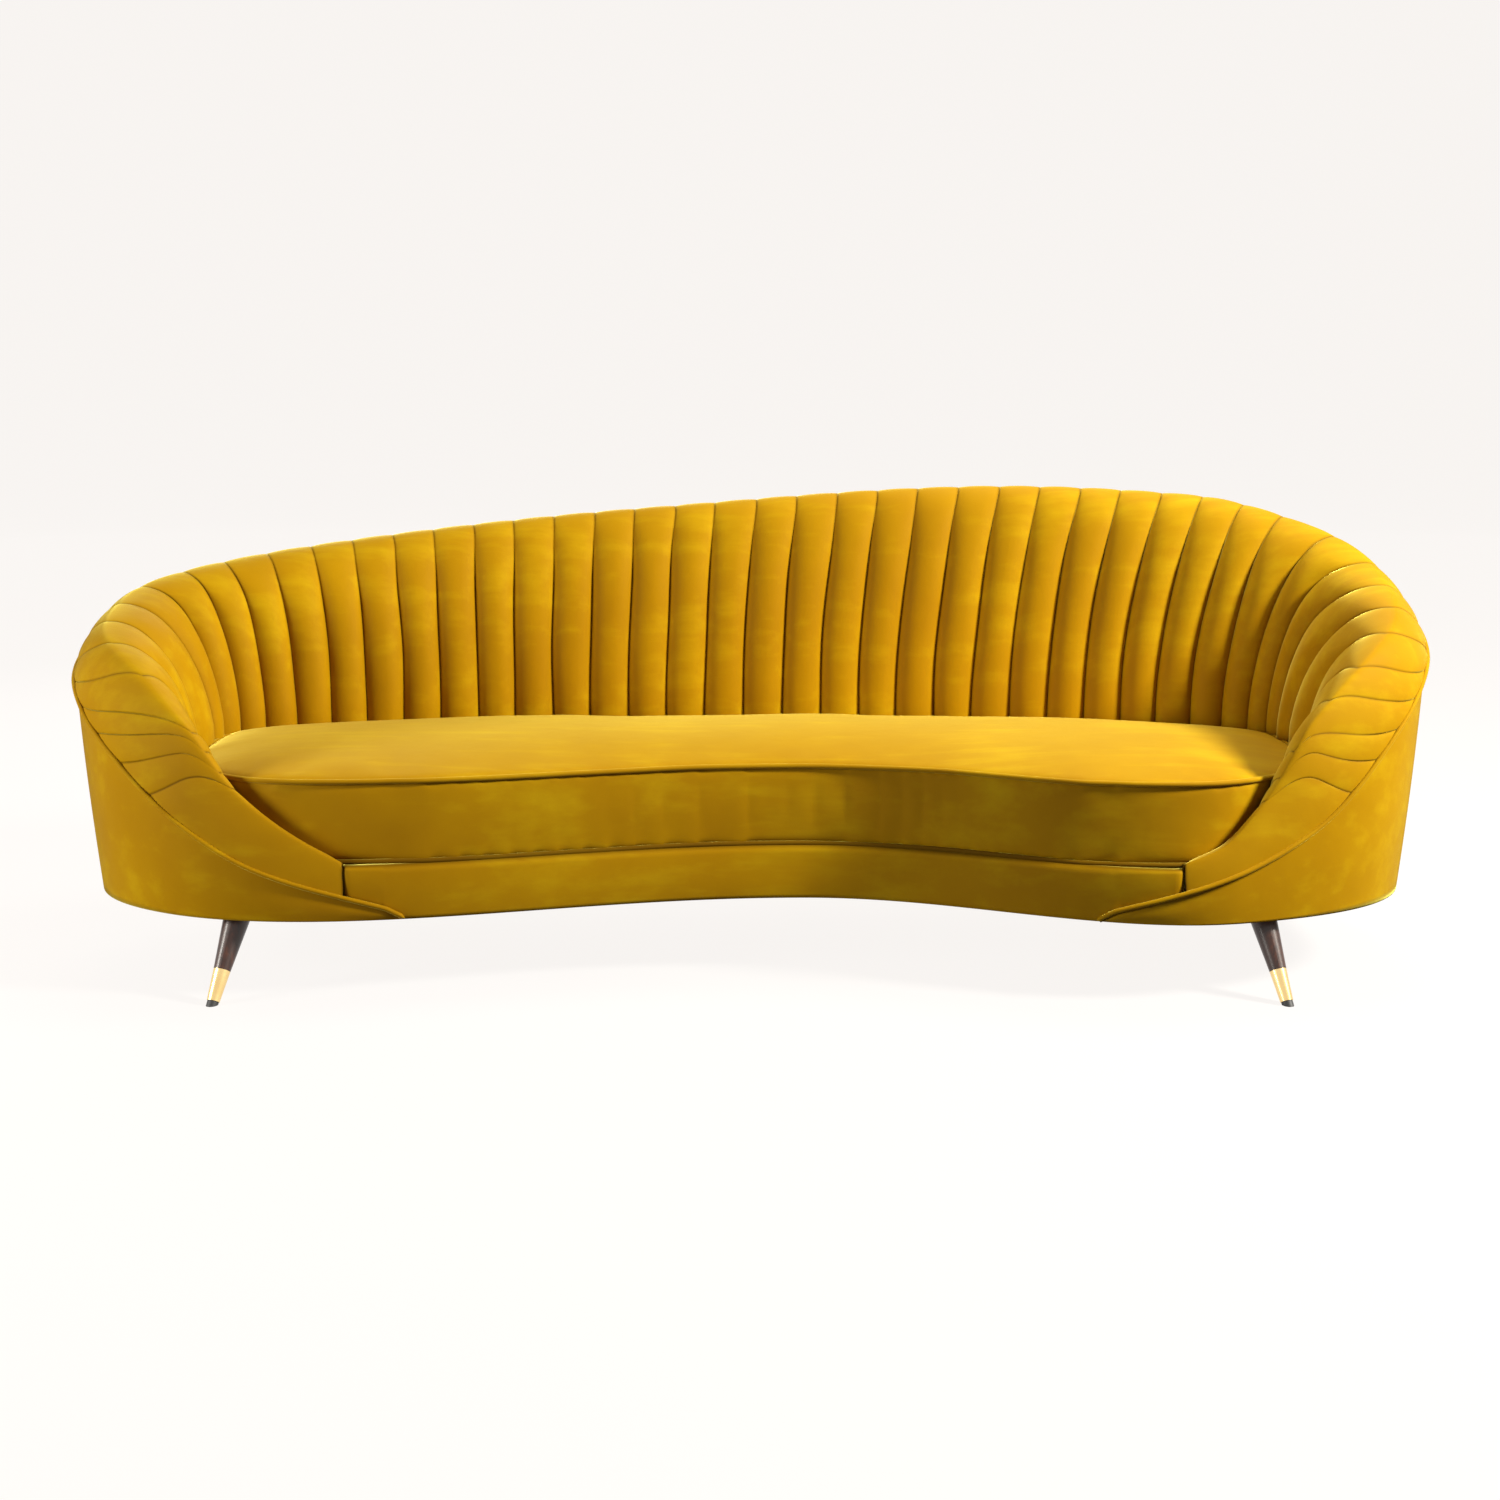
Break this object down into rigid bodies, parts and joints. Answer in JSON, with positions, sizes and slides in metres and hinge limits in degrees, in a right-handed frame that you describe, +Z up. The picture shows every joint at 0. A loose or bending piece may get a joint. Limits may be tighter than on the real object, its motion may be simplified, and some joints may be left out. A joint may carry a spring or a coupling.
{
  "type": "curved channel-back sofa",
  "caption": "Curved sofa with a channelled wrap-round back that rolls down into the arms, a loose bench seat cushion and splayed tapered wooden legs in brass ferrules.",
  "frame": {"origin": "on the floor, at the middle of the footprint", "axes": "+Z up, +X along the sofa, the open front faces -Y"},
  "size_m": [2.479, 0.9164, 0.8321],
  "materials": {
    "channelled_velvet": "mustard gold velvet, sewn in channels",
    "velvet": "mustard gold velvet, plain",
    "deck_cloth": "plain woven deck cloth",
    "dust_cloth": "thin black non-woven cloth",
    "walnut": "dark walnut stain, satin",
    "brass": "polished brass",
    "nylon": "black moulded nylon",
    "steel": "zinc-plated steel",
    "hardwood": "sawn hardwood",
    "plywood": "birch plywood"
  },
  "bodies": {
    "sofa_body": {"back_rib_01": "plywood", "back_rib_02": "plywood", "back_rib_03": "plywood", "back_rib_04": "plywood", "back_rib_05": "plywood", "back_rib_06": "plywood", "back_rib_07": "plywood", "back_rib_08": "plywood", "back_rib_09": "plywood", "back_rib_10": "plywood", "back_rib_11": "plywood", "base_panel": "plywood", "channel_pad_01": "channelled_velvet", "channel_pad_02": "channelled_velvet", "channel_pad_03": "channelled_velvet", "channel_pad_04": "channelled_velvet", "channel_pad_05": "channelled_velvet", "channel_pad_06": "channelled_velvet", "channel_pad_07": "channelled_velvet", "channel_pad_08": "channelled_velvet", "channel_pad_09": "channelled_velvet", "channel_pad_10": "channelled_velvet", "channel_pad_11": "channelled_velvet", "channel_pad_12": "channelled_velvet", "cross_rails": "hardwood", "deck_pad": "deck_cloth", "deck_ring": "plywood", "dust_cover": "dust_cloth", "ferrule_front_left": "brass", "ferrule_front_right": "brass", "ferrule_rear_left": "brass", "ferrule_rear_right": "brass", "frame_blocks": "hardwood", "front_border": "velvet", "front_rail": "hardwood", "glide_front_left": "nylon", "glide_front_right": "nylon", "glide_rear_left": "nylon", "glide_rear_right": "nylon", "hanger_bolts": "steel", "leg_front_left": "walnut", "leg_front_right": "walnut", "leg_plates": "steel", "leg_rear_left": "walnut", "leg_rear_right": "walnut", "outside_panel_01": "velvet", "outside_panel_02": "velvet", "outside_panel_03": "velvet", "outside_panel_04": "velvet", "outside_panel_05": "velvet", "outside_panel_06": "velvet", "outside_welt": "velvet", "plate_screws": "steel", "seat_springs": "steel", "spring_clips": "steel", "tie_wires": "steel", "top_rail": "hardwood"},
    "seat_cushion_body": {"seat_cushion": "velvet", "cushion_welt_top": "velvet", "cushion_welt_bottom": "velvet"}
  },
  "joints": [
    {"name": "cushion_lift", "type": "slide", "parent": "sofa_body", "child": "seat_cushion_body", "axis": [0, 0, 1], "range_m": [0, 0.3]}
  ]
}
